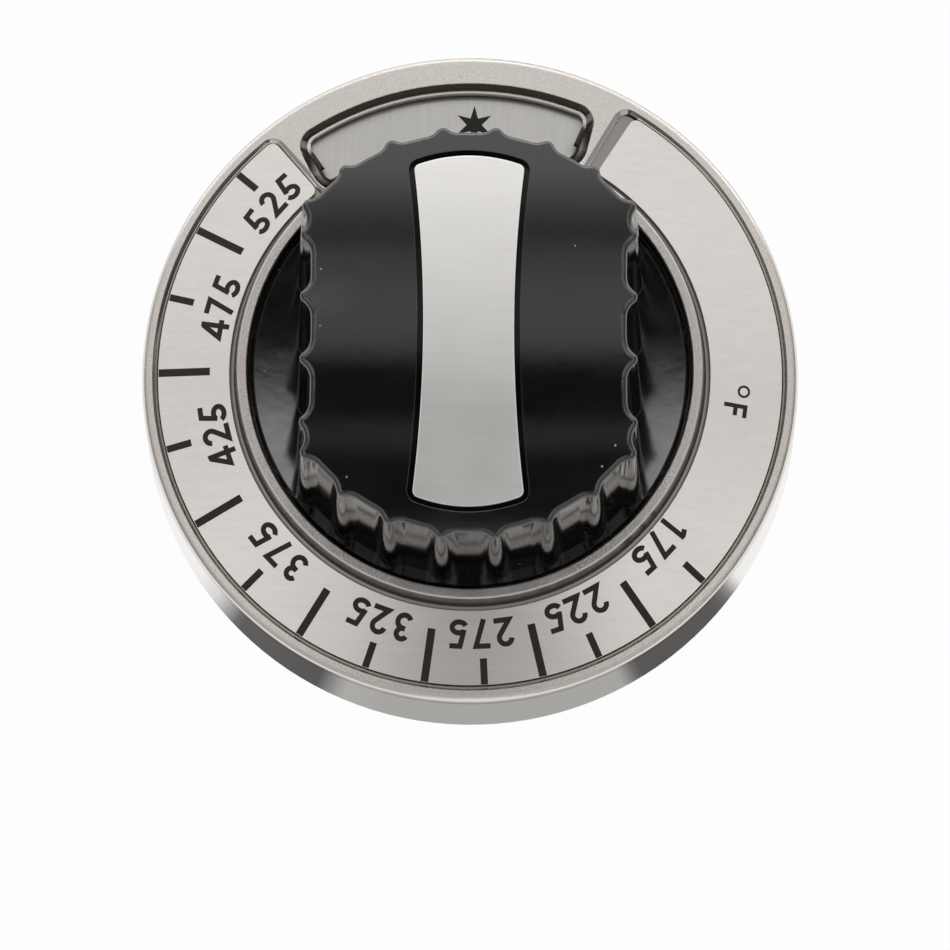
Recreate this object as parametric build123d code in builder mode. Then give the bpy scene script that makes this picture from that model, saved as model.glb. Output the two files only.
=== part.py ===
from build123d import *
import math
import os

# Oven temperature knob: a plated dial skirt with a brushed scale plate turns about
# a black grip moulding when two clamp screws at the back are slackened.
# Millimetres. The knob lies on the skirt's back edge: Z = 0 there, dial facing +Z,
# the shaft axis on Z, and the long axis of the grip along Y.

# Dial skirt, the plated casting
face_radius = 43.0
skirt_height = 18.76
skirt_flare = 0.9
skirt_wall = 1.6
edge_round = 1.05
face_slope = 12.5
shell_wall = 1.3
wall_root_round = 0.8

# Ring that stands round the black moulding
ring_rise = 5.54
ring_proportion = 0.6733
ring_top_width = 1.3
ring_draft_width = 0.55
ring_edge_round = 0.2

# Web that the grip and the index plate clamp, and the gap left between flat faces
web_thickness = 1.55
seat_drop = 0.21
slip = 0.05

# Scale plate and its recess in the face
recess_depth = 0.9
scale_plate_thickness = 0.6
rim_width = 1.4
recess_bevel_width = 0.6
recess_corner_round = 1.3
plate_inner_gap = 0.65
plate_outer_gap = 0.12
plate_corner_round = 1.0
recess_left_angle = 33.8
recess_right_angle = 35.0
plate_start_gap_angle = 0.3
plate_end_gap_angle = 2.4

# Window over the index plate
window_half_angle = 29.2
window_margin = 1.4
window_rim_width = 5.0
window_corner_round = 1.2
window_lip_width = 0.4
window_lip_thickness = 1.65
window_bevel_angle = 38.0

# Setting of the dial against the grip: the dial stands turned by dial_offset, and
# its two slots let it turn by slot_travel to each side of the middle
dial_offset = 5.6
slot_travel = 12.0

# Grip moulding: a dished disc with a lip, and the fluted grip that stands on it
moulding_gap = 0.3
lip_thickness = 3.9
dish_edge_thickness = 3.25
dish_middle_thickness = 2.05
dish_edge_width = 0.65
grip_rise = 30.7
dome_radius = 130.0
grip_foot_margin = 0.2
grip_side_cut = 5.35
grip_side_bow = 0.35
grip_draft_angle = 3.1
ridge_foot_radius = 2.5
ridge_projection = 0.85
side_ridge_projection = 1.0
ridge_count = 24
corner_ridge_angle = 38.0
side_ridge_pitch = 7.9
ridge_root_round = 0.7
grip_edge_round = 0.7
grip_wall = 3.4
grip_top_wall = 4.5

# Spigot and hub of the grip moulding, and the ribs in its hollow
spigot_screw_gap = 6.3
spigot_length = 3.55
running_clearance = 0.08
hub_wall = 3.0
hub_length = 12.0
hub_chamfer = 0.5
rib_width = 2.0

# Index plate, seen through the window
index_plate_thickness = 0.8
index_disc_margin = 6.7
index_arm_margin = 1.6
index_arm_margin_angle = 3.0

# Clamp screws
screw_circle_inset = 7.65
screw_shank_radius = 1.75
screw_head_radius = 3.43
screw_head_height = 2.1
screw_length = 9.5
screw_hole_clearance = 0.2
screw_thread_clearance = 0.03
screw_boss_radius = 3.8
screw_recess_radius = 1.75
screw_recess_width = 0.8
screw_recess_depth = 1.2
screw_recess_taper = 12.0
screw_head_round = 1.2
screw_point_chamfer = 0.35

# Shaft insert and its leaf spring
shaft_radius = 3.175
shaft_clearance = 0.025
lead_in_clearance = 0.225
insert_wall = 2.3
insert_waist_depth = 0.6
insert_waist_length = 3.0
insert_length = 17.0
round_bore_length = 8.0
flat_offset = 1.59
spring_thickness = 0.4
spring_width = 3.0
spring_length = 7.0
spring_pocket_depth = 0.75

# Inlay in the grip's face
inlay_end_margin = 3.0
inlay_end_width = 14.0
inlay_waist_width = 11.4
inlay_end_rise = 1.4
inlay_corner_round = 0.9
inlay_thickness = 0.8
inlay_moat = 0.65
inlay_sink = 0.1
inlay_edge_round = 0.15


# Radii that follow from the face's
base_radius = face_radius + skirt_flare
ring_inner_radius = face_radius * ring_proportion


def face_height(radius):
    """Height of the conical dial face at a distance from the axis."""
    return skirt_height + (face_radius - radius) * math.tan(math.radians(face_slope))


def polar(radius, angle):
    """Point of the XY plane at a radius and an angle in degrees."""
    return (radius * math.cos(math.radians(angle)), radius * math.sin(math.radians(angle)))


def edge_radius(edge):
    """Distance from the axis to the middle of an edge."""
    middle = edge.position_at(0.5)
    return math.hypot(middle.X, middle.Y)


def on_recess_rim(edge):
    """Whether an edge lies in the dial face inside the recess's outer wall."""
    radius = edge_radius(edge)
    lies_in_face = abs(edge.position_at(0.5).Z - face_height(radius)) < slip
    return lies_in_face and ring_inner_radius + slip < radius < recess_outer_radius + slip


def sector(inner, outer, middle, half_angle):
    """Sketch face of a ring sector, centred on an angle."""
    with BuildSketch(mode=Mode.PRIVATE) as shape:
        with BuildLine():
            low, high = middle - half_angle, middle + half_angle
            ThreePointArc(polar(outer, low), polar(outer, middle), polar(outer, high))
            Line(polar(outer, high), polar(inner, high))
            ThreePointArc(polar(inner, high), polar(inner, middle), polar(inner, low))
            Line(polar(inner, low), polar(outer, low))
        make_face()
    return shape.sketch


def hourglass(length, end_width, waist_width, end_rise):
    """Outline with bowed-out ends and bowed-in sides, long along Y."""
    corner_x, corner_y = end_width / 2, length / 2 - end_rise
    with BuildSketch(mode=Mode.PRIVATE) as shape:
        with BuildLine():
            ThreePointArc((-corner_x, corner_y), (0, length / 2), (corner_x, corner_y))
            ThreePointArc((corner_x, corner_y), (waist_width / 2, 0), (corner_x, -corner_y))
            ThreePointArc((corner_x, -corner_y), (0, -length / 2), (-corner_x, -corner_y))
            ThreePointArc((-corner_x, -corner_y), (-waist_width / 2, 0), (-corner_x, corner_y))
        make_face()
    return shape.sketch


# Heights that several pieces share
ring_height = skirt_height + ring_rise
moulding_seat_height = skirt_height - seat_drop
web_top = moulding_seat_height - slip
web_bottom = web_top - web_thickness
window_lip_height = web_bottom + window_lip_thickness
index_top = web_bottom - slip
index_bottom = index_top - index_plate_thickness
lip_height = moulding_seat_height + lip_thickness
dish_edge_height = moulding_seat_height + dish_edge_thickness
dish_middle_height = moulding_seat_height + dish_middle_thickness
grip_height = dish_middle_height + grip_rise
spigot_height = moulding_seat_height - spigot_length
hub_end_height = spigot_height - hub_length
spring_middle_height = hub_end_height + (round_bore_length + insert_length) / 2

# Radii and angles that several pieces share
ring_top_radius = ring_inner_radius + ring_top_width
ring_foot_radius = ring_top_radius + ring_draft_width
shell_drop = recess_depth + shell_wall
wall_inner_radius = face_radius - skirt_wall
recess_top_radius = face_radius - rim_width
recess_outer_radius = recess_top_radius - recess_bevel_width
window_inner_radius = ring_foot_radius + window_margin
window_outer_radius = face_radius - window_rim_width
dial_middle = 90 + dial_offset
slot_half_width = screw_shank_radius + screw_hole_clearance
moulding_radius = ring_inner_radius - moulding_gap
dish_edge_radius = moulding_radius - dish_edge_width
grip_foot_radius = dish_edge_radius - grip_foot_margin - ridge_projection
grip_foot_half_width = grip_foot_radius - grip_side_cut
grip_top_radius = grip_foot_radius - grip_rise * math.tan(math.radians(grip_draft_angle))
screw_circle_radius = grip_foot_radius - screw_circle_inset
spigot_radius = screw_circle_radius - spigot_screw_gap
web_hole_radius = spigot_radius + running_clearance
bore_radius = shaft_radius + shaft_clearance
insert_radius = bore_radius + insert_wall
insert_waist_radius = insert_radius - insert_waist_depth
hub_radius = insert_radius + hub_wall


def dome_layer(outline, upper_drop, lower_drop):
    """Sheet with an outline in plan, between two depths under the domed face."""
    dome_axis_height = grip_height - dome_radius
    with BuildPart(mode=Mode.PRIVATE) as layer:
        with BuildSketch(Plane.YZ.offset(-grip_foot_radius)):
            with Locations((0, dome_axis_height)):
                Circle(dome_radius - upper_drop)
                Circle(dome_radius - lower_drop, mode=Mode.SUBTRACT)
        extrude(amount=2 * grip_foot_radius)
        with BuildSketch(Plane.XY.offset(moulding_seat_height)):
            add(outline)
        extrude(amount=2 * grip_height, mode=Mode.INTERSECT)
    return layer.part


# Inlay and its pocket, from one outline
inlay_length = 2 * (grip_top_radius - inlay_end_margin)
inlay_outline = hourglass(inlay_length, inlay_end_width, inlay_waist_width, inlay_end_rise)
with BuildSketch() as inlay_plan:
    add(inlay_outline)
    fillet(inlay_plan.vertices(), inlay_corner_round)
with BuildSketch() as pocket_plan:
    add(inlay_plan.sketch)
    offset(amount=inlay_moat)
inlay_sheet = dome_layer(inlay_plan.sketch, inlay_sink, inlay_sink + inlay_thickness)
inlay_pocket = dome_layer(pocket_plan.sketch, -grip_edge_round, inlay_sink + inlay_thickness + slip)

# Body of the shaft insert before it is bored
with BuildPart() as insert_blank:
    with BuildSketch(Plane.XY.offset(hub_end_height)):
        Circle(insert_radius)
    extrude(amount=insert_length)
    waist_bottom = hub_end_height + (insert_length - insert_waist_length) / 2
    with BuildSketch(Plane.XY.offset(waist_bottom)):
        Circle(insert_radius)
        Circle(insert_waist_radius, mode=Mode.SUBTRACT)
    extrude(amount=insert_waist_length, mode=Mode.SUBTRACT)
insert_body = insert_blank.part

# Dial skirt
with BuildPart() as dial_skirt:
    with BuildSketch(Plane.XZ) as skirt_section:
        root_height = face_height(wall_inner_radius) - shell_drop
        with BuildLine():
            Polyline(
                (base_radius, 0),
                (face_radius, skirt_height),
                (ring_inner_radius, face_height(ring_inner_radius)),
                (ring_inner_radius, web_top),
                (web_hole_radius, web_top),
                (web_hole_radius, web_bottom),
                (ring_foot_radius + shell_wall, web_bottom),
                (ring_foot_radius + shell_wall, face_height(ring_foot_radius + shell_wall) - shell_drop),
                (wall_inner_radius, root_height),
                (base_radius - skirt_wall, 0),
                close=True,
            )
        make_face()
        outer_corner = skirt_section.vertices().sort_by_distance((face_radius, skirt_height))[0]
        fillet(outer_corner, edge_round)
        root_corner = skirt_section.vertices().sort_by_distance((wall_inner_radius, root_height))[0]
        fillet(root_corner, wall_root_round)
    revolve(axis=Axis.Z)

    # Recess of the scale plate: all round but for the sector with the window
    recess_sweep = 360 - recess_left_angle - recess_right_angle
    with BuildSketch(Plane.XZ.rotated((0, 0, dial_middle + recess_left_angle))):
        with BuildLine():
            Polyline(
                (moulding_radius, face_height(moulding_radius) - recess_depth),
                (recess_outer_radius, face_height(recess_outer_radius) - recess_depth),
                (recess_outer_radius, ring_height),
                (moulding_radius, ring_height),
                close=True,
            )
        make_face()
    revolve(axis=Axis.Z, revolution_arc=recess_sweep, mode=Mode.SUBTRACT)
    upright_edges = dial_skirt.edges().filter_by(Axis.Z)
    recess_corners = [edge for edge in upright_edges if edge.length < recess_depth + slip]
    recess_corners = ShapeList(recess_corners).sort_by(edge_radius)[-2:]
    fillet(recess_corners, recess_corner_round)
    recess_rim = [edge for edge in dial_skirt.edges() if on_recess_rim(edge)]
    chamfer(recess_rim, recess_bevel_width)

    # Ring round the grip moulding
    with BuildSketch(Plane.XZ) as ring_section:
        with BuildLine():
            Polyline(
                (ring_inner_radius, web_top),
                (ring_foot_radius, web_top),
                (ring_foot_radius, face_height(ring_foot_radius)),
                (ring_top_radius, ring_height),
                (ring_inner_radius, ring_height),
                close=True,
            )
        make_face()
        ring_corners = ring_section.vertices().group_by(Axis.Y)[-1]
        fillet(ring_corners, ring_edge_round)
    revolve(axis=Axis.Z)

    # Window: a straight opening, and above its lip a bevel that widens upward
    with BuildSketch(Plane.XY.offset(web_bottom)) as window:
        add(sector(window_inner_radius, window_outer_radius, dial_middle, window_half_angle))
        fillet(window.vertices(), window_corner_round)
    extrude(amount=ring_height, mode=Mode.SUBTRACT)
    with BuildSketch(Plane.XY.offset(window_lip_height)) as window_bevel:
        add(sector(window_inner_radius, window_outer_radius, dial_middle, window_half_angle))
        fillet(window_bevel.vertices(), window_corner_round)
        offset(amount=window_lip_width)
    bevel_height = face_height(ring_foot_radius) - window_lip_height
    extrude(amount=bevel_height, taper=-window_bevel_angle, mode=Mode.SUBTRACT)

    # Slots for the clamp screws
    with BuildSketch(Plane.XY.offset(web_bottom)):
        for slot_middle in (dial_middle, dial_middle + 180):
            SlotArc(
                CenterArc((0, 0), screw_circle_radius, slot_middle - slot_travel, 2 * slot_travel),
                height=2 * slot_half_width,
            )
    extrude(amount=web_thickness, mode=Mode.SUBTRACT)

dial_skirt.part.label = "dial_skirt"

# Scale plate, bonded in the recess
with BuildPart() as scale_plate:
    plate_start = dial_middle + recess_left_angle + plate_start_gap_angle
    plate_sweep = recess_sweep - plate_start_gap_angle - plate_end_gap_angle
    with BuildSketch(Plane.XZ.rotated((0, 0, plate_start))):
        with BuildLine():
            plate_inner = ring_foot_radius + plate_inner_gap
            plate_outer = recess_outer_radius - plate_outer_gap
            floor_inner = face_height(plate_inner) - recess_depth
            floor_outer = face_height(plate_outer) - recess_depth
            Polyline(
                (plate_inner, floor_inner),
                (plate_outer, floor_outer),
                (plate_outer, floor_outer + scale_plate_thickness),
                (plate_inner, floor_inner + scale_plate_thickness),
                close=True,
            )
        make_face()
    revolve(axis=Axis.Z, revolution_arc=plate_sweep)
    fillet(scale_plate.edges().filter_by(Axis.Z).sort_by(Edge.length)[:4], plate_corner_round)

scale_plate.part.label = "scale_plate"

# Index plate: a disc under the web with an arm that shows through the window
with BuildPart() as index_plate:
    with BuildSketch(Plane.XY.offset(index_bottom)):
        Circle(screw_circle_radius + index_disc_margin)
        arm_radius = window_outer_radius + index_arm_margin
        arm_half_angle = window_half_angle + slot_travel + index_arm_margin_angle
        add(sector(spigot_radius, arm_radius, 90, arm_half_angle))
        Circle(spigot_radius + slip, mode=Mode.SUBTRACT)
        with PolarLocations(screw_circle_radius, 2, start_angle=90):
            Circle(slot_half_width, mode=Mode.SUBTRACT)
    extrude(amount=index_plate_thickness)

index_plate.part.label = "index_plate"

# Middles of the ridges at the grip's foot: six round each end, one at each corner and
# four along each side
ridge_pitch_angle = 360 / ridge_count
ridge_centre_radius = grip_foot_radius + ridge_projection - ridge_foot_radius
side_ridge_x = grip_foot_half_width + side_ridge_projection - ridge_foot_radius
ridge_points = []
for end_angle in (90, 270):
    for step in (-2.5, -1.5, -0.5, 0.5, 1.5, 2.5):
        ridge_points.append(polar(ridge_centre_radius, end_angle + step * ridge_pitch_angle))
for side_angle in (0, 180):
    for corner_angle in (-corner_ridge_angle, corner_ridge_angle):
        ridge_points.append(polar(ridge_centre_radius, side_angle + corner_angle))
for side_x in (-side_ridge_x, side_ridge_x):
    for step in (-1.5, -0.5, 0.5, 1.5):
        ridge_points.append((side_x, step * side_ridge_pitch))

# Grip moulding
with BuildPart() as grip_body:
    # Dished disc with a raised lip
    with BuildSketch(Plane.XZ):
        with BuildLine():
            Line((0, dish_middle_height), (0, moulding_seat_height))
            Line((0, moulding_seat_height), (moulding_radius, moulding_seat_height))
            Line((moulding_radius, moulding_seat_height), (moulding_radius, lip_height))
            lip_rise = lip_height - dish_edge_height
            lip_curve_radius = (dish_edge_width**2 + lip_rise**2) / (2 * lip_rise)
            half_turn = math.atan2(lip_rise, dish_edge_width)
            ThreePointArc(
                (dish_edge_radius, dish_edge_height),
                (
                    dish_edge_radius + lip_curve_radius * math.sin(half_turn),
                    dish_edge_height + lip_curve_radius * (1 - math.cos(half_turn)),
                ),
                (moulding_radius, lip_height),
            )
            dish_rise = dish_edge_height - dish_middle_height
            ThreePointArc(
                (dish_edge_radius, dish_edge_height),
                (dish_edge_radius / 2, dish_middle_height + dish_rise / 4),
                (0, dish_middle_height),
            )
        make_face()
    revolve(axis=Axis.Z)

    # Fluted grip, drawn at its foot and drafted upward
    with BuildSketch(Plane.XY.offset(dish_middle_height)) as grip_outline:
        Circle(grip_foot_radius)
        with BuildSketch(mode=Mode.PRIVATE) as side_strip:
            with BuildLine():
                half_width, reach = grip_foot_half_width, 2 * grip_foot_radius
                waist = grip_foot_half_width - grip_side_bow
                ThreePointArc((half_width, -half_width), (waist, 0), (half_width, half_width))
                Polyline(
                    (half_width, half_width),
                    (half_width, reach),
                    (-half_width, reach),
                    (-half_width, half_width),
                )
                ThreePointArc((-half_width, half_width), (-waist, 0), (-half_width, -half_width))
                Polyline(
                    (-half_width, -half_width),
                    (-half_width, -reach),
                    (half_width, -reach),
                    (half_width, -half_width),
                )
            make_face()
        add(side_strip.sketch, mode=Mode.INTERSECT)
        with Locations(*ridge_points):
            Circle(ridge_foot_radius)
        fillet(grip_outline.vertices(), ridge_root_round)
    extrude(amount=grip_height - dish_middle_height, taper=grip_draft_angle)

    # Face domed along the grip
    with BuildSketch(Plane.YZ.offset(-grip_foot_radius)):
        Rectangle(2 * moulding_radius, 2 * grip_height)
        with Locations((0, grip_height - dome_radius)):
            Circle(dome_radius, mode=Mode.SUBTRACT)
    extrude(amount=2 * grip_foot_radius, mode=Mode.SUBTRACT)
    face_edges = grip_body.faces().sort_by(Axis.Z)[-1].edges()
    fillet(face_edges, grip_edge_round)

    # Pocket of the inlay
    add(inlay_pocket, mode=Mode.SUBTRACT)

    # Hollow of the grip round a solid core, with bosses for the clamp screws
    with BuildSketch(Plane.XY.offset(moulding_seat_height)):
        Circle(grip_foot_radius - grip_wall)
        Rectangle(
            2 * (grip_foot_half_width - grip_side_bow - grip_wall),
            2 * grip_foot_radius,
            mode=Mode.INTERSECT,
        )
        Circle(spigot_radius, mode=Mode.SUBTRACT)
        with PolarLocations(screw_circle_radius, 2, start_angle=90):
            Circle(screw_boss_radius, mode=Mode.SUBTRACT)
        for rib_angle in (0, 90):
            Rectangle(rib_width, 2 * grip_foot_radius, rotation=rib_angle, mode=Mode.SUBTRACT)
    hollow_height = grip_height - grip_top_wall - moulding_seat_height
    extrude(amount=hollow_height, taper=grip_draft_angle, mode=Mode.SUBTRACT)

    # Spigot that centres the skirt and the index plate, and the hub round the shaft
    with BuildSketch(Plane.XY.offset(moulding_seat_height)):
        Circle(spigot_radius)
    extrude(amount=spigot_height - moulding_seat_height)
    with BuildSketch(Plane.XY.offset(spigot_height)):
        Circle(hub_radius)
    extrude(amount=hub_end_height - spigot_height)
    hub_rim = grip_body.faces().sort_by(Axis.Z)[0].edges()
    chamfer(hub_rim, hub_chamfer)

    # Socket that holds the shaft insert by its waist
    add(insert_body, mode=Mode.SUBTRACT)

    # Holes for the clamp screws
    with BuildSketch(Plane.XY.offset(moulding_seat_height)):
        with PolarLocations(screw_circle_radius, 2, start_angle=90):
            Circle(screw_shank_radius + screw_thread_clearance)
    extrude(amount=screw_length, mode=Mode.SUBTRACT)

grip_body.part.label = "grip_body"

# Inlay bonded in the pocket, curved as the face is
with BuildPart() as grip_inlay:
    add(inlay_sheet)
    inlay_edges = grip_inlay.faces().sort_by(Axis.Z)[-1].edges()
    fillet(inlay_edges, inlay_edge_round)

grip_inlay.part.label = "grip_inlay"

# Shaft insert: a round lead-in at the mouth and a D bore behind it
with BuildPart() as shaft_insert:
    add(insert_body)
    with BuildSketch(Plane.XY.offset(hub_end_height)):
        Circle(shaft_radius + lead_in_clearance)
    extrude(amount=round_bore_length, mode=Mode.SUBTRACT)
    with BuildSketch(Plane.XY.offset(hub_end_height + round_bore_length)):
        Circle(bore_radius)
        with Locations((0, flat_offset)):
            Rectangle(
                2 * bore_radius, bore_radius, align=(Align.CENTER, Align.MIN), mode=Mode.SUBTRACT
            )
    extrude(amount=insert_length - round_bore_length, mode=Mode.SUBTRACT)
    with BuildSketch(Plane.XZ.offset(-flat_offset)):
        with Locations((0, spring_middle_height)):
            Rectangle(spring_width + 2 * slip, spring_length + 2 * slip)
    extrude(amount=-spring_pocket_depth, mode=Mode.SUBTRACT)

shaft_insert.part.label = "shaft_insert"

# Leaf spring, bowed from the pocket's floor to the flat of the shaft
with BuildPart() as shaft_spring:
    with BuildSketch(Plane.YZ.offset(-spring_width / 2)):
        with BuildLine():
            pocket_floor = flat_offset + spring_pocket_depth
            top_end = spring_middle_height + spring_length / 2
            low_end = spring_middle_height - spring_length / 2
            bow_crest = flat_offset + spring_thickness
            spring_inner = pocket_floor - spring_thickness
            ThreePointArc(
                (pocket_floor, low_end), (bow_crest, spring_middle_height), (pocket_floor, top_end)
            )
            Line((pocket_floor, top_end), (spring_inner, top_end))
            ThreePointArc(
                (spring_inner, top_end), (flat_offset, spring_middle_height), (spring_inner, low_end)
            )
            Line((spring_inner, low_end), (pocket_floor, low_end))
        make_face()
    extrude(amount=spring_width)

shaft_spring.part.label = "shaft_spring"

# Clamp screws: pan heads under the index plate, shanks up through the slots
clamp_screws = []
for number, screw_angle in ((1, 90), (2, 270)):
    screw_plane = Plane((*polar(screw_circle_radius, screw_angle), index_bottom))
    with BuildPart() as clamp_screw:
        with BuildSketch(screw_plane):
            Circle(screw_head_radius)
        extrude(amount=-screw_head_height)
        head_rim = clamp_screw.edges().group_by(Axis.Z)[0]
        fillet(head_rim, screw_head_round)
        with BuildSketch(screw_plane):
            Circle(screw_shank_radius)
        extrude(amount=screw_length)
        shank_rim = clamp_screw.edges().group_by(Axis.Z)[-1]
        chamfer(shank_rim, screw_point_chamfer)
        with BuildSketch(screw_plane.offset(-screw_head_height)):
            for arm_angle in (45, 135):
                Rectangle(2 * screw_recess_radius, screw_recess_width, rotation=arm_angle)
        extrude(amount=screw_recess_depth, taper=screw_recess_taper, mode=Mode.SUBTRACT)
    clamp_screw.part.label = f"clamp_screw_{number}"
    clamp_screws.append(clamp_screw)

os.makedirs("parts", exist_ok=True)
for piece in (
    dial_skirt,
    scale_plate,
    index_plate,
    grip_body,
    grip_inlay,
    shaft_insert,
    shaft_spring,
    *clamp_screws,
):
    export_step(piece.part, f"parts/{piece.part.label}.step")
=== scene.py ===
import math

import bmesh
import bpy
from mathutils import Matrix, Vector
from mathutils.geometry import delaunay_2d_cdt


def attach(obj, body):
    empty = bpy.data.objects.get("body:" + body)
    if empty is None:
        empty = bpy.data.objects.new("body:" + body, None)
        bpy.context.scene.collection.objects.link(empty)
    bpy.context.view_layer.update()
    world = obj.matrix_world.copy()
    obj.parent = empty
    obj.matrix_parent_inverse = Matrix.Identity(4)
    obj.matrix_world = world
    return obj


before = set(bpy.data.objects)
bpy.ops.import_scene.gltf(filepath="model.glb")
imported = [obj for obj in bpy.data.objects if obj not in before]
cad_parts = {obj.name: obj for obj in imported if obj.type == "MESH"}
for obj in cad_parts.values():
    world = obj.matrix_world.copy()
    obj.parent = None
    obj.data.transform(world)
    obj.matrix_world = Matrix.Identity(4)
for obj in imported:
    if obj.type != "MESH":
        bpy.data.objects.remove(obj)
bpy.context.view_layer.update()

# Lengths are in millimetres and angles in degrees. MM brings a length to metres.
MM = 0.001

# Dial face: a cone about the shaft axis, with the scale plate and the index plate below it
FACE_SLOPE = 12.5
FACE_RISE = math.tan(math.radians(FACE_SLOPE))
CREST_RADIUS = 41.9
CREST_HEIGHT = 19.0
RECESS_DEPTH = 0.9
PLATE_DROP = 0.3
PLATE_EDGE_RADIUS = 40.88
INDEX_TOP = 16.9

# Skirt's rounded shoulder: the middle of its arc, and where it starts and ends
SHOULDER_ARC_RADIUS = 41.99
SHOULDER_ARC_HEIGHT = 17.91
SHOULDER_START_RADIUS = 42.22
SHOULDER_FOOT_HEIGHT = 17.96

# Plating: where one finish gives way to the next, and where painted shade darkens the groove, the
# joint, the well, the recess floor and the ring's side, by radius or by depth below the face
SATIN_END = (42.12, 42.28)
WALL_START = (42.6, 42.84)
RECESSED_DEPTHS = (0.03, 0.1)
GROOVE_DEPTHS = (0.3, 0.5)
GROOVE_END = (31.55, 31.75)
JOINT_DEPTHS = (0.45, 0.6)
JOINT_RADIUS = PLATE_EDGE_RADIUS + 0.1
JOINT_REACH = 0.2
WELL_DEPTHS = (1.4, 1.6)
WELL_FOOT_HEIGHT = INDEX_TOP - 0.1
FLOOR_REACH = 0.04
RING_SIDE_RADIUS = 30.6
RING_SIDE_REACH = 0.28
WORN_EDGE_END = PLATE_EDGE_RADIUS - 0.5
PLATED_EDGE_WEAR = 0.2

# Plating's finishes: how dark and how light the speckle is, and roughness; then the tints of
# painted shade on the recess floor, in the groove, on the ring's side, and in the well and the
# joint
PLATED_SPECKLE = (0.88, 1.1)
SATIN_ROUGHNESS = (0.2, 0.28)
SHOULDER_ROUGHNESS = 0.48
BRIGHT_ROUGHNESS = 0.12
RECESS_FLOOR_ROUGHNESS = 0.35
RECESS_FLOOR_SHADE_TINT = (0.27, 0.26, 0.245)
GROOVE_SHADE_TINT = (0.3, 0.275, 0.25)
RING_SIDE_SHADE_TINT = (0.17, 0.15, 0.125)
SHADOW_TINT = (0.06, 0.05, 0.04)

# Grip: a face rounded about a line along X, a sunk moat round its inlay with painted shade, and its
# finish
GRIP_HEIGHT = 51.3
DOME_RADIUS = 130.0
MOAT_HALF_WIDTH = 8.4
MOAT_HALF_LENGTH = 23.6
MOAT_DEPTHS = (0.12, 0.25)
GRIP_EDGE_WEAR = 0.15
BLACK = (0.0035, 0.0035, 0.003)
DUST = (0.25, 0.25, 0.24)
DUST_SIZE = 0.09
DUST_RARITY = 0.92
DUST_ROUGHNESS = 0.7
GLOSS_ROUGHNESS = (0.06, 0.11)
GLOSS_LEVEL = 0.75
MOAT_SHADE_LEVEL = 0.2
PHENOLIC_IOR = 1.6

# Brushed sheet: streaks a metre along the grain and across it, how much larger the coarse
# ones are, and how far the roughness strays
GRAIN_ALONG = 220.0
GRAIN_ACROSS = 5200.0
GRAIN_COARSER = 3.5
ROUGHNESS_STRAY = 0.03

# Noise rarely leaves this span
NOISE_SPAN = (0.3, 0.7)

# Print: a film that stands a little above its surface and reaches a little below it
INK_DARK = (0.012, 0.01, 0.008)
INK_LIGHT = (0.03, 0.025, 0.018)
INK_HEIGHT = 0.02
INK_DEPTH = 0.05
TICK_OUTER = 40.82
LONG_TICK_INNER = 34.0
SHORT_TICK_INNER = 37.5
LONG_TICK_WIDTH = 1.02
SHORT_TICK_WIDTH = 0.92
LABEL_HEIGHT = 3.75
DIGIT_PITCH = 5.1
UNIT_RADIUS = 35.0
UNIT_ANGLE = 352.2
UNIT_HEIGHT = 3.1
DEGREE_RADIUS = 35.9
DEGREE_ANGLE = 356.35
DEGREE_OUTER = 0.83
DEGREE_LINE = 0.3
STAR_RADIUS = 34.2
STAR_ANGLE = 89.3
STAR_TIP = 2.6
STAR_NOTCH = 1.0
STAR_POINTS = 6

# Figures are drawn one high: their stroke, and the steps and least mitre of the outlines
STROKE = 0.18
ARC_STEP = 12
LEAST_MITRE = 0.3

# The scale's uneven steps, anticlockwise from +X, and where each label stands: its
# radius and its turn from the tick, as the print on the real plate wanders a little
SCALE_ANGLES = {
    525: 138.8,
    500: 151.7,
    475: 165.4,
    450: 179.8,
    425: 194.2,
    400: 209.2,
    375: 224.0,
    350: 237.3,
    325: 250.8,
    300: 261.9,
    275: 272.9,
    250: 283.7,
    225: 294.5,
    200: 305.9,
    175: 318.3,
}
LABEL_PLACES = {
    525: (34.6, 0.2),
    475: (33.95, -0.25),
    425: (34.05, 0.0),
    375: (34.25, -0.3),
    325: (34.55, -0.3),
    275: (34.4, -0.3),
    225: (34.1, -0.45),
    175: (33.5, -0.6),
}

# Floor: a large sheet, just below the part, and its white share
FLOOR_HALF_SIDE = 3000.0
FLOOR_DROP = 0.2
FLOOR_SHADE = 0.9
FLOOR_GLOW = 0.96

# Painted reflection: levels the floor shows only to mirror rays round the foot, so that the skirt
# mirrors them, by angle from -Y towards +X.
# They fade to white between two distances from the axis.
PAINTED_REFLECTION_FADE = (54.0, 72.0)
PAINTED_REFLECTION_LEVELS = (
    (-180, 1.0),
    (-57, 1.0),
    (-52, 0.8),
    (-46, 0.12),
    (-28, 0.1),
    (-23, 0.5),
    (-15, 0.46),
    (28, 0.46),
    (31.5, 0.1),
    (50, 0.1),
    (53, 0.2),
    (56.5, 1.0),
    (180, 1.0),
)

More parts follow.
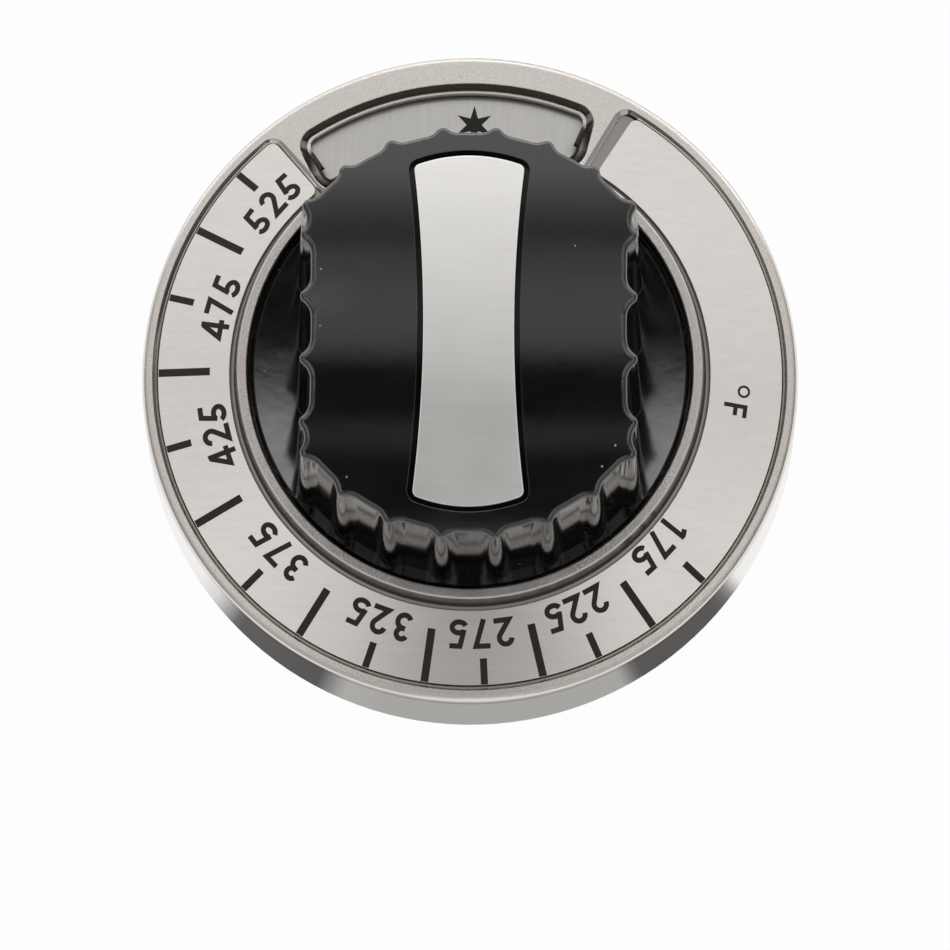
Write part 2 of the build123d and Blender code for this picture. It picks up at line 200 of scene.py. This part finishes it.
# Levels of the surroundings by their lean, from overhead towards +Y: on the plane X = 0, near
# it and at its sides. Far out to the sides one level holds at every lean. Each pair of angles
# off the plane says where one table gives way to the next.
NEAR_START = (2.8, 4.5)
SIDE_START = (8.5, 14)
FAR_START = (48, 58)
MIDDLE_LEVELS = (
    (-90, 0.95),
    (-80, 0.95),
    (-45, 0.4),
    (-14, 0.33),
    (-11.5, 0.03),
    (-4.5, 0.03),
    (-3, 0.2),
    (-0.8, 0.2),
    (0.6, 0.03),
    (6.5, 0.03),
    (8.8, 0.5),
    (11, 0.6),
    (15, 0.6),
    (20.5, 0.42),
    (22.5, 0.25),
    (24, 0.25),
    (27, 0.5),
    (31, 0.95),
    (36, 1.0),
    (62, 1.0),
    (66, 3.0),
    (90, 3.0),
)
NEAR_LEVELS = (
    (-90, 0.95),
    (-60, 0.6),
    (-30, 0.62),
    (-12, 0.6),
    (-4, 0.1),
    (0, 0.03),
    (10.7, 0.03),
    (11.3, 0.8),
    (13, 2.6),
    (16, 2.6),
    (18, 0.8),
    (22, 0.5),
    (30, 0.95),
    (62, 0.95),
    (66, 3.0),
    (90, 3.0),
)
SIDE_LEVELS = (
    (-90, 0.5),
    (-45, 0.6),
    (-20, 1.1),
    (0, 1.1),
    (4, 0.5),
    (9.5, 0.5),
    (12.5, 0.95),
    (62, 0.95),
    (66, 2.2),
    (90, 2.2),
)
FAR_LEVEL = 0.3

# Camera: its direction from the part, and how it is turned to frame the part. Focus and image
# side are in pixels, the clipping distances in metres.
CAMERA_TILT = 10.75
CAMERA_TURN = 1.75
CAMERA_DISTANCE = 600.0
CAMERA_PITCH = -1.25
CAMERA_YAW = 0.03
CAMERA_ROLL = -1.54
CAMERA_FOCUS = 4578.0
IMAGE_SIDE = 950.0
SENSOR_WIDTH = 36.0
CLIP_START = 0.01
CLIP_END = 10


def mm(*lengths):
    """Lengths in millimetres, in metres."""
    return [length * MM for length in lengths]


def grey(level):
    return (level, level, level, 1)


def opaque(colour, factor=1.0):
    """A colour times a factor, with its alpha."""
    return [min(1.0, c * factor) for c in colour] + [1]


def rotated(first, second, degrees):
    """Two perpendicular vectors turned in their own plane, the first towards the second."""
    c, s = math.cos(math.radians(degrees)), math.sin(math.radians(degrees))
    return first * c + second * s, second * c - first * s


def make_camera():
    """The camera looks at the middle of the crest's plane, then turns about its own axes."""
    tilt = math.radians(CAMERA_TILT)
    away = Vector((0, -math.sin(tilt), math.cos(tilt))) * CAMERA_DISTANCE
    forward, right = -away.normalized(), Vector((1, 0, 0))
    up = right.cross(forward)
    forward, up = rotated(forward, up, CAMERA_PITCH)
    forward, right = rotated(forward, right, CAMERA_YAW)
    right, up = rotated(right, up, CAMERA_ROLL)
    place = Matrix((right, up, -forward)).transposed().to_4x4()
    place.translation = (away + Vector((0, 0, CREST_HEIGHT))) * MM
    data = bpy.data.cameras.new("camera")
    data.sensor_width = SENSOR_WIDTH
    data.lens = CAMERA_FOCUS / IMAGE_SIDE * SENSOR_WIDTH
    data.clip_start, data.clip_end = CLIP_START, CLIP_END
    camera = bpy.data.objects.new("camera", data)
    bpy.context.scene.collection.objects.link(camera)
    camera.matrix_world = Matrix.Rotation(math.radians(CAMERA_TURN), 4, "Z") @ place
    bpy.context.scene.camera = camera


class Nodes:
    """A node tree. Each call adds nodes, sets or links their inputs, and returns an output."""

    # For each kind of mix: its first input and its output
    MIX_SOCKETS = {"FLOAT": (2, 0), "VECTOR": (4, 1), "RGBA": (6, 2)}

    def __init__(self, owner):
        owner.use_nodes = True
        self.tree = owner.node_tree
        self.tree.nodes.clear()

    def add(self, kind, inputs=None, **settings):
        """Add one node and return it whole."""
        made = self.tree.nodes.new(kind)
        for name, value in settings.items():
            setattr(made, name, value)
        for name, value in (inputs or {}).items():
            self.put(made, name, value)
        return made

    def put(self, made, name, value):
        """Link an output to an input, or set the input to a plain value."""
        if isinstance(value, bpy.types.NodeSocket):
            self.tree.links.new(value, made.inputs[name])
        else:
            made.inputs[name].default_value = value

    def math(self, operation, first, second=0.0, third=0.0):
        made = self.add("ShaderNodeMath", operation=operation)
        for number, value in enumerate((first, second, third)):
            self.put(made, number, value)
        return made.outputs[0]

    def both(self, first, second):
        """Where two masks overlap."""
        return self.math("MULTIPLY", first, second)

    def near(self, value, middle, reach):
        """1 within a reach of a middle, both in millimetres, and 0 elsewhere."""
        return self.math("COMPARE", value, *mm(middle, reach))

    def hypotenuse(self, first, second):
        squares = [self.math("POWER", side, 2.0) for side in (first, second)]
        return self.math("SQRT", self.math("ADD", *squares))

    def between(self, value, low, high, start=0.0, end=1.0):
        """A value brought from the span start to end into the span low to high."""
        inputs = {"Value": value, "From Min": start, "From Max": end, "To Min": low, "To Max": high}
        return self.add("ShaderNodeMapRange", inputs).outputs[0]

    def vector(self, operation, first, second=None, scale=None):
        inputs = {0: first, 1: second, "Scale": scale}
        given = {name: value for name, value in inputs.items() if value is not None}
        return self.add("ShaderNodeVectorMath", given, operation=operation).outputs["Vector"]

    def to_world(self, value, kind):
        """A vector or a normal of the object, in world space."""
        settings = {"vector_type": kind, "convert_from": "OBJECT", "convert_to": "WORLD"}
        return self.add("ShaderNodeVectorTransform", {"Vector": value}, **settings).outputs[0]

    def place(self):
        """Object coordinates in metres: whole, then X, Y and Z."""
        whole = self.add("ShaderNodeTexCoord").outputs["Object"]
        split = self.add("ShaderNodeSeparateXYZ", {"Vector": whole}).outputs
        return whole, split["X"], split["Y"], split["Z"]

    def stretched(self, scale):
        """Object coordinates times a scale, one number or one for each axis."""
        scales = scale if isinstance(scale, tuple) else (scale, scale, scale)
        place = self.add("ShaderNodeTexCoord").outputs["Object"]
        return self.add("ShaderNodeMapping", {"Vector": place, "Scale": scales}).outputs[0]

    def noise(self, scale, detail, roughness):
        """Noise whose scale is in features a metre."""
        inputs = {
            "Vector": self.stretched(scale),
            "Scale": 1.0,
            "Detail": detail,
            "Roughness": roughness,
        }
        return self.add("ShaderNodeTexNoise", inputs).outputs["Fac"]

    def ramp(self, degrees, stops):
        """Grey level by an angle in degrees, straight between stops."""
        low, high = stops[0][0], stops[-1][0]
        made = self.add("ShaderNodeValToRGB", {"Fac": self.between(degrees, 0, 1, low, high)})
        elements = made.color_ramp.elements
        elements.remove(elements[1])
        for number, (stop, level) in enumerate(stops):
            place = (stop - low) / (high - low)
            element = elements.new(place) if number else elements[0]
            element.position = place
            element.color = grey(level)
        return made.outputs["Color"]

    def mix(self, share, first, second, kind="RGBA"):
        """Blend from the first to the second value, vector or colour."""
        made = self.add("ShaderNodeMix", data_type=kind)
        start, result = self.MIX_SOCKETS[kind]
        self.put(made, 0, share)
        self.put(made, start, first)
        self.put(made, start + 1, second)
        return made.outputs[result]

    def bump(self, height, strength, distance, normal=None):
        inputs = {"Height": height, "Strength": strength, "Distance": distance * MM}
        if normal is not None:
            inputs["Normal"] = normal
        return self.add("ShaderNodeBump", inputs).outputs[0]

    def rounded(self, radius, samples):
        """Normals that round every edge by a radius in millimetres."""
        return self.add("ShaderNodeBevel", {"Radius": radius * MM}, samples=samples).outputs[0]

    def surface(self, shader):
        self.add("ShaderNodeOutputMaterial", {"Surface": shader})

    def principled(self, inputs):
        self.surface(self.add("ShaderNodeBsdfPrincipled", inputs).outputs[0])


def new_material(name):
    made = bpy.data.materials.new(name)
    return made, Nodes(made)


def brushed(name, colour, along, roughness, anisotropy, streak):
    """Brushed sheet: fine streaks along X or Y, in faint light and dark bands."""
    made, nodes = new_material(name)
    slow, fast = GRAIN_ALONG, GRAIN_ACROSS
    scale = (slow, fast, fast) if along == "X" else (fast, slow, fast)
    fine = nodes.noise(scale, 3.0, 0.6)
    coarse = nodes.noise(tuple(s / GRAIN_COARSER for s in scale), 2.0, 0.5)
    cloud = nodes.noise(60, 2.0, 0.5)
    grain = nodes.math("MULTIPLY_ADD", coarse, 0.5, nodes.math("MULTIPLY", fine, 0.5))
    share = nodes.between(grain, 0, 1, *NOISE_SPAN)
    across = (0, 1, 0) if along == "X" else (1, 0, 0)
    smoothest, roughest = roughness - ROUGHNESS_STRAY, roughness + ROUGHNESS_STRAY
    nodes.principled(
        {
            "Base Color": nodes.mix(share, opaque(colour, 1 - streak), opaque(colour, 1 + streak)),
            "Metallic": 1.0,
            "Roughness": nodes.between(cloud, smoothest, roughest, *NOISE_SPAN),
            "Anisotropic": anisotropy,
            "Tangent": nodes.to_world(across, "VECTOR"),
            "Normal": nodes.bump(grain, 0.25, 0.02),
        }
    )
    return made


def shoulder_normal(nodes, place):
    """The exact normal of the skirt's rounded shoulder, smoother than its facets' own."""
    outward = nodes.vector("NORMALIZE", nodes.vector("MULTIPLY", place, (1, 1, 0)))
    level_reach = nodes.vector("SCALE", outward, scale=SHOULDER_ARC_RADIUS * MM)
    arc_middle = nodes.vector("ADD", level_reach, (0, 0, SHOULDER_ARC_HEIGHT * MM))
    off_arc = nodes.vector("NORMALIZE", nodes.vector("SUBTRACT", place, arc_middle))
    return nodes.to_world(off_arc, "NORMAL")


def plated(name, colour, bright_colour):
    """Chrome plate over a casting: satin and finely speckled on the face, brighter on the wall
    and in what is sunk, with painted shade on the recess floor, the ring's side and the groove, and
    painted shadow in the well and the joint."""
    made, nodes = new_material(name)
    place, x, y, height = nodes.place()
    radius = nodes.hypotenuse(x, y)
    axis_height = (CREST_HEIGHT + CREST_RADIUS * FACE_RISE) * MM
    face_height = nodes.math("MULTIPLY_ADD", radius, -FACE_RISE, axis_height)
    depth = nodes.math("SUBTRACT", face_height, height)

    wall = nodes.between(radius, 0, 1, *mm(*WALL_START))
    recessed = nodes.between(depth, 0, 1, *mm(*RECESSED_DEPTHS))
    bright = nodes.math("MAXIMUM", wall, recessed)
    # Masks of painted shade: the recess floor, the ring's side, the groove, the well and the joint
    recess_floor = nodes.near(depth, RECESS_DEPTH, FLOOR_REACH)
    ring_side = nodes.near(radius, RING_SIDE_RADIUS, RING_SIDE_REACH)
    groove = nodes.both(
        nodes.between(depth, 0, 1, *mm(*GROOVE_DEPTHS)),
        nodes.between(radius, 1, 0, *mm(*GROOVE_END)),
    )
    well = nodes.both(
        nodes.between(depth, 0, 1, *mm(*WELL_DEPTHS)),
        nodes.math("GREATER_THAN", height, WELL_FOOT_HEIGHT * MM),
    )
    joint = nodes.both(
        nodes.between(depth, 0, 1, *mm(*JOINT_DEPTHS)),
        nodes.near(radius, JOINT_RADIUS, JOINT_REACH),
    )

    speckle = nodes.noise(4200, 3.0, 0.65)
    share = nodes.between(speckle, 0, 1, *NOISE_SPAN)
    tint = nodes.mix(share, *(opaque(colour, factor) for factor in PLATED_SPECKLE))
    tint = nodes.mix(bright, tint, opaque(bright_colour))
    # Painted shade: darker tints on the recess floor, in the groove and on the ring's side, and the
    # painted shadow tint in the well and the joint
    tint = nodes.mix(recess_floor, tint, opaque(RECESS_FLOOR_SHADE_TINT))
    tint = nodes.mix(groove, tint, opaque(GROOVE_SHADE_TINT))
    tint = nodes.mix(ring_side, tint, opaque(RING_SIDE_SHADE_TINT))
    tint = nodes.mix(nodes.math("MAXIMUM", well, joint), tint, opaque(SHADOW_TINT))

    satin = nodes.between(nodes.noise(130, 3.0, 0.6), *SATIN_ROUGHNESS, *NOISE_SPAN)
    shoulder = nodes.between(radius, 0, SHOULDER_ROUGHNESS, *mm(*SATIN_END))
    face_roughness = nodes.math("MAXIMUM", satin, shoulder)
    roughness = nodes.mix(bright, face_roughness, BRIGHT_ROUGHNESS, "FLOAT")
    floor_roughness = nodes.math("MULTIPLY", recess_floor, RECESS_FLOOR_ROUGHNESS)
    roughness = nodes.math("MAXIMUM", roughness, floor_roughness)

    plain = nodes.add("ShaderNodeNewGeometry").outputs["Normal"]
    outer = nodes.math("GREATER_THAN", radius, WORN_EDGE_END * MM)
    worn = nodes.mix(outer, nodes.rounded(PLATED_EDGE_WEAR, 6), plain, "VECTOR")
    on_shoulder = nodes.both(
        nodes.math("GREATER_THAN", radius, SHOULDER_START_RADIUS * MM),
        nodes.math("GREATER_THAN", height, SHOULDER_FOOT_HEIGHT * MM),
    )
    smooth = nodes.mix(on_shoulder, worn, shoulder_normal(nodes, place), "VECTOR")
    speckle_height = nodes.math("MULTIPLY", speckle, nodes.math("SUBTRACT", 1.0, bright))
    nodes.principled(
        {
            "Base Color": tint,
            "Metallic": 1.0,
            "Roughness": roughness,
            "Normal": nodes.bump(speckle_height, 0.7, 0.05, smooth),
        }
    )
    return made


def black_moulding(name):
    """Polished black phenolic with a faint orange peel, dust specks, and painted shade in the moat,
    where the reflection is dimmed.
    """
    made, nodes = new_material(name)
    _, x, y, height = nodes.place()
    above_axis = nodes.math("SUBTRACT", height, (GRIP_HEIGHT - DOME_RADIUS) * MM)
    from_axis = nodes.hypotenuse(y, above_axis)
    shallow, deep = MOAT_DEPTHS
    sunk = nodes.between(from_axis, 1, 0, *mm(DOME_RADIUS - deep, DOME_RADIUS - shallow))
    beside = nodes.math("LESS_THAN", nodes.math("ABSOLUTE", x), MOAT_HALF_WIDTH * MM)
    within = nodes.math("LESS_THAN", nodes.math("ABSOLUTE", y), MOAT_HALF_LENGTH * MM)
    # The moat, where painted shade dims the reflection
    moat = nodes.both(sunk, nodes.both(beside, within))
    cells = nodes.add("ShaderNodeTexVoronoi", {"Vector": nodes.stretched(600), "Scale": 1.0})
    speck = nodes.math("LESS_THAN", cells.outputs["Distance"], DUST_SIZE)
    drawn = nodes.add("ShaderNodeSeparateColor", {"Color": cells.outputs["Color"]})
    chosen = nodes.math("GREATER_THAN", drawn.outputs["Red"], DUST_RARITY)
    dust = nodes.both(speck, chosen)
    smear = nodes.noise((150, 260, 150), 3.0, 0.6)
    gloss = nodes.between(smear, *GLOSS_ROUGHNESS, *NOISE_SPAN)
    dusty = nodes.math("MULTIPLY", dust, DUST_ROUGHNESS)
    peel = nodes.noise(420, 2.0, 0.5)
    nodes.principled(
        {
            "Base Color": nodes.mix(dust, opaque(BLACK), opaque(DUST)),
            "Roughness": nodes.math("MAXIMUM", gloss, dusty),
            "IOR": PHENOLIC_IOR,
            "Specular IOR Level": nodes.between(moat, GLOSS_LEVEL, MOAT_SHADE_LEVEL),
            "Normal": nodes.bump(peel, 0.06, 0.1, nodes.rounded(GRIP_EDGE_WEAR, 4)),
        }
    )
    return made


def turned(name, colour, roughness):
    """Turned or rolled metal with fine marks."""
    made, nodes = new_material(name)
    marks = nodes.noise((900, 900, 5000), 3.0, 0.6)
    cloud = nodes.noise(300, 2.0, 0.5)
    nodes.principled(
        {
            "Base Color": nodes.mix(cloud, opaque(colour, 0.85), opaque(colour)),
            "Metallic": 1.0,
            "Roughness": nodes.between(marks, roughness - 0.06, roughness + 0.08, *NOISE_SPAN),
            "Normal": nodes.bump(marks, 0.2, 0.02),
        }
    )
    return made


def ink(name):
    """Matt dark ink with a fine grain."""
    made, nodes = new_material(name)
    grain = nodes.noise(5000, 2.0, 0.6)
    nodes.principled(
        {
            "Base Color": nodes.mix(grain, opaque(INK_DARK), opaque(INK_LIGHT)),
            "Roughness": nodes.between(grain, 0.45, 0.6),
            "Specular IOR Level": 0.25,
        }
    )
    return made


def polar(radius, degrees):
    turn = math.radians(degrees)
    return Vector((radius * math.cos(turn), radius * math.sin(turn)))


def arc(centre, radius, start, end, squash=1.0):
    """Points of an arc from one angle to another, flattened in height by squash."""
    steps = max(2, round(abs(end - start) / ARC_STEP))
    rim = [polar(radius, start + (end - start) * n / steps) for n in range(steps + 1)]
    return [Vector((centre[0] + p.x, centre[1] + p.y * squash)) for p in rim]


def stroke(points, width):
    """Quads of a stroke along points, with mitred corners."""
    points = [Vector(p) for p in points]
    sides = []
    for n, point in enumerate(points):
        before = (point - points[n - 1]).normalized() if n else None
        after = (points[n + 1] - point).normalized() if n < len(points) - 1 else None
        before, after = before or after, after or before
        across = Vector((-before.y - after.y, before.x + after.x)).normalized()
        mitre = max(LEAST_MITRE, across.dot(Vector((-before.y, before.x))))
        reach = width / 2 / mitre
        sides.append((point + across * reach, point - across * reach))
    return [[a[0], a[1], b[1], b[0]] for a, b in zip(sides, sides[1:])]


def glyph_strokes():
    """Centre lines of the figures, one high, each with the width it takes up."""
    low, high = STROKE / 2, 1 - STROKE / 2
    two_foot = [Vector((0.13, low)), Vector((0.66, low))]
    three_waist = Vector((0.2, 2 * 0.73 - high))
    return {
        "1": (0.42, [[(0.06, 0.82), (0.3, high + 0.03)], [(0.3, 0), (0.3, 1)]]),
        "2": (0.66, [[*arc((0.31, 0.695), high - 0.695, 175, -38), *two_foot]]),
        "3": (
            0.6,
            [
                [*arc((0.28, 0.73), high - 0.73, 160, -90), three_waist],
                [three_waist, *arc((0.28, 0.315), 0.315 - low, 90, -155)],
            ],
        ),
        "4": (0.71, [[(0.49, 0), (0.49, 1)], [(0.45, 0.93), (0.08, 0.3), (0.71, 0.3)]]),
        "5": (
            0.77,
            [
                [(0.64, high), (0.27, high), (0.155, 0.345)],
                arc((0.33, 0.275), 0.24, 132, -160, squash=0.77),
            ],
        ),
        "7": (0.64, [[(0, high), (0.5, high), (0.21, 0)]]),
        "F": (
            0.55,
            [[(0.085, 0), (0.085, 1)], [(0.085, high), (0.55, high)], [(0.085, 0.5), (0.5, 0.5)]],
        ),
    }


GLYPHS = glyph_strokes()


def figure(character, radius, degrees, height):
    """Polygons of a figure whose middle stands at a radius and an angle, its top outward."""
    width, lines = GLYPHS[character]
    out = polar(1, degrees)
    across = Vector((out.y, -out.x))
    middle = out * radius
    quads = [quad for line in lines for quad in stroke(line, STROKE)]
    return [
        [middle + across * (p.x - width / 2) * height + out * (p.y - 0.5) * height for p in quad]
        for quad in quads
    ]


def bar(inner, outer, degrees, width):
    """A straight tick between two radii."""
    out = polar(1, degrees)
    across = Vector((-out.y, out.x)) * width / 2
    near, far = out * inner, out * outer
    return [[near + across, near - across, far - across, far + across]]


def ring(radius, degrees, outer, thickness):
    """A small circle line, as quads."""
    points = arc(polar(radius, degrees), outer - thickness / 2, 0, 360)
    return stroke(points, thickness)


def star(radius, degrees, tip, notch, points):
    """A star whose first tip points outward, as triangles about its middle."""
    centre = polar(radius, degrees)
    outline = []
    for n in range(points):
        outline.append(centre + polar(tip, degrees + 360 * n / points))
        outline.append(centre + polar(notch, degrees + 360 * (n + 0.5) / points))
    return [[centre, outline[n - 1], outline[n]] for n in range(len(outline))]


def covers(polygon, point):
    """Whether a convex polygon, drawn anticlockwise, covers a point."""
    sides = zip(polygon, polygon[1:] + polygon[:1])
    return all((b - a).cross(point - a) > 0 for a, b in sides)


def printed_mark(mesh, polygons, surface_height):
    """Add one mark's closed film to a mesh, its polygons merged where they overlap."""
    corners, outlines = [], []
    for polygon in polygons:
        outlines.append(list(range(len(corners), len(corners) + len(polygon))))
        corners += polygon
    flat, _, triangles, *_ = delaunay_2d_cdt(corners, [], outlines, 1, 1e-5)
    tops, feet = [], []
    for point in flat:
        height = surface_height(point.length)
        tops.append(mesh.verts.new((point.x * MM, point.y * MM, (height + INK_HEIGHT) * MM)))
        feet.append(mesh.verts.new((point.x * MM, point.y * MM, (height - INK_DEPTH) * MM)))
    edges = set()
    for triangle in triangles:
        middle = sum((flat[n] for n in triangle), Vector((0, 0))) / 3
        if any(covers(polygon, middle) for polygon in polygons):
            mesh.faces.new([tops[n] for n in triangle])
            mesh.faces.new([feet[n] for n in reversed(triangle)])
            edges.update(zip(triangle, triangle[1:] + triangle[:1]))
    for start, end in edges:
        if (end, start) not in edges:
            mesh.faces.new([tops[end], tops[start], feet[start], feet[end]])


def printed(name, marks, surface_height, body, material):
    """A thin film of ink marks laid on a surface."""
    mesh = bmesh.new()
    for polygons in marks:
        printed_mark(mesh, polygons, surface_height)
    for vertex in [v for v in mesh.verts if not v.link_faces]:
        mesh.verts.remove(vertex)
    data = bpy.data.meshes.new(name)
    mesh.to_mesh(data)
    mesh.free()
    piece = bpy.data.objects.new(name, data)
    bpy.context.scene.collection.objects.link(piece)
    data.materials.append(material)
    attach(piece, body)


def plate_height(radius):
    """Top of the scale plate at a radius."""
    return CREST_HEIGHT + (CREST_RADIUS - radius) * FACE_RISE - PLATE_DROP


def print_scale(material):
    """Ticks, every second one with its number, and the sign of the unit."""
    marks = []
    for number, degrees in SCALE_ANGLES.items():
        if number in LABEL_PLACES:
            marks.append(bar(SHORT_TICK_INNER, TICK_OUTER, degrees, SHORT_TICK_WIDTH))
            radius, turn = LABEL_PLACES[number]
            for place, character in enumerate(str(number)):
                stand = degrees + turn + (1 - place) * DIGIT_PITCH
                marks.append(figure(character, radius, stand, LABEL_HEIGHT))
        else:
            marks.append(bar(LONG_TICK_INNER, TICK_OUTER, degrees, LONG_TICK_WIDTH))
    marks.append(ring(DEGREE_RADIUS, DEGREE_ANGLE, DEGREE_OUTER, DEGREE_LINE))
    marks.append(figure("F", UNIT_RADIUS, UNIT_ANGLE, UNIT_HEIGHT))
    printed("scale_print", marks, plate_height, "dial", material)


def print_index(material):
    """The star mark, on the index plate's level arm."""
    marks = [star(STAR_RADIUS, STAR_ANGLE, STAR_TIP, STAR_NOTCH, STAR_POINTS)]
    printed("index_print", marks, lambda radius: INDEX_TOP, "grip", material)


def set_material(node, material):
    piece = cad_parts[node]
    piece.data.materials.clear()
    piece.data.materials.append(material)


def make_world():
    """Studio surroundings: white to the camera, soft boxes and dark gaps to the part."""
    world = bpy.data.worlds.new("studio")
    bpy.context.scene.world = world
    nodes = Nodes(world)
    way = nodes.add("ShaderNodeTexCoord").outputs["Generated"]
    split = nodes.add("ShaderNodeSeparateXYZ", {"Vector": way}).outputs
    lean = nodes.math("DEGREES", nodes.math("ARCTAN2", split["Y"], split["Z"]))
    off_plane = nodes.math("ARCSINE", nodes.math("ABSOLUTE", split["X"]))
    off_middle = nodes.math("DEGREES", off_plane)
    near = nodes.between(off_middle, 0, 1, *NEAR_START)
    at_side = nodes.between(off_middle, 0, 1, *SIDE_START)
    far = nodes.between(off_middle, 0, 1, *FAR_START)
    lit = nodes.mix(near, nodes.ramp(lean, MIDDLE_LEVELS), nodes.ramp(lean, NEAR_LEVELS))
    lit = nodes.mix(at_side, lit, nodes.ramp(lean, SIDE_LEVELS))
    lit = nodes.mix(far, lit, grey(FAR_LEVEL))
    rays = nodes.add("ShaderNodeLightPath").outputs
    seen = nodes.mix(rays["Is Camera Ray"], lit, grey(1))
    background = nodes.add("ShaderNodeBackground", {"Color": seen, "Strength": 1.0})
    nodes.add("ShaderNodeOutputWorld", {"Surface": background.outputs[0]})


def make_floor():
    """White sheet, that keeps the shadow; mirror rays see it glow with painted reflection levels
    round the foot.
    """
    data = bpy.data.meshes.new("floor")
    side = FLOOR_HALF_SIDE * MM
    corners = [(-side, -side, 0), (side, -side, 0), (side, side, 0), (-side, side, 0)]
    data.from_pydata(corners, [], [(0, 1, 2, 3)])
    floor = bpy.data.objects.new("floor", data)
    bpy.context.scene.collection.objects.link(floor)
    floor.location.z = -FLOOR_DROP * MM
    made, nodes = new_material("floor")
    place, x, y, _ = nodes.place()
    # Painted reflection: the floor's levels by turn round the foot, seen by mirror rays only
    turn = nodes.math("ARCTAN2", x, nodes.math("MULTIPLY", y, -1.0))
    level = nodes.ramp(nodes.math("DEGREES", turn), PAINTED_REFLECTION_LEVELS)
    away = nodes.add("ShaderNodeVectorMath", {0: place}, operation="LENGTH").outputs["Value"]
    painted_reflection = nodes.mix(nodes.between(away, 0, 1, *mm(*PAINTED_REFLECTION_FADE)), level, grey(1))
    rays = nodes.add("ShaderNodeLightPath").outputs
    glow_colour = nodes.mix(rays["Is Camera Ray"], painted_reflection, grey(1))
    glow = nodes.add("ShaderNodeEmission", {"Color": glow_colour, "Strength": 1.0})
    direct = nodes.math("MAXIMUM", rays["Is Camera Ray"], rays["Is Glossy Ray"])
    seen = nodes.math("MAXIMUM", direct, rays["Is Transmission Ray"])
    diffuse = nodes.add("ShaderNodeBsdfDiffuse", {"Color": grey(FLOOR_SHADE)})
    share = nodes.math("MULTIPLY", seen, FLOOR_GLOW)
    layers = {0: share, 1: diffuse.outputs[0], 2: glow.outputs[0]}
    nodes.surface(nodes.add("ShaderNodeMixShader", layers).outputs[0])
    data.materials.append(made)


bpy.context.scene.view_settings.view_transform = "Standard"
make_camera()
make_world()
make_floor()

zinc = turned("zinc", (0.75, 0.76, 0.77), 0.28)
materials = {
    "dial_skirt": plated("satin_chrome", (0.6, 0.56, 0.53), (0.72, 0.68, 0.635)),
    "scale_plate": brushed("brushed_plate", (0.7, 0.67, 0.64), "X", 0.3, 0.5, 0.05),
    "index_plate": brushed("brushed_index", (0.56, 0.545, 0.52), "Y", 0.34, 0.5, 0.07),
    "grip_body": black_moulding("black_moulding"),
    "grip_inlay": brushed("brushed_inlay", (0.88, 0.86, 0.835), "X", 0.32, 0.65, 0.03),
    "shaft_insert": turned("brass", (0.72, 0.55, 0.28), 0.3),
    "shaft_spring": turned("spring_steel", (0.5, 0.5, 0.5), 0.3),
    "clamp_screw_1": zinc,
    "clamp_screw_2": zinc,
}
for node, material in materials.items():
    set_material(node, material)

print_ink = ink("ink")
print_scale(print_ink)
print_index(print_ink)
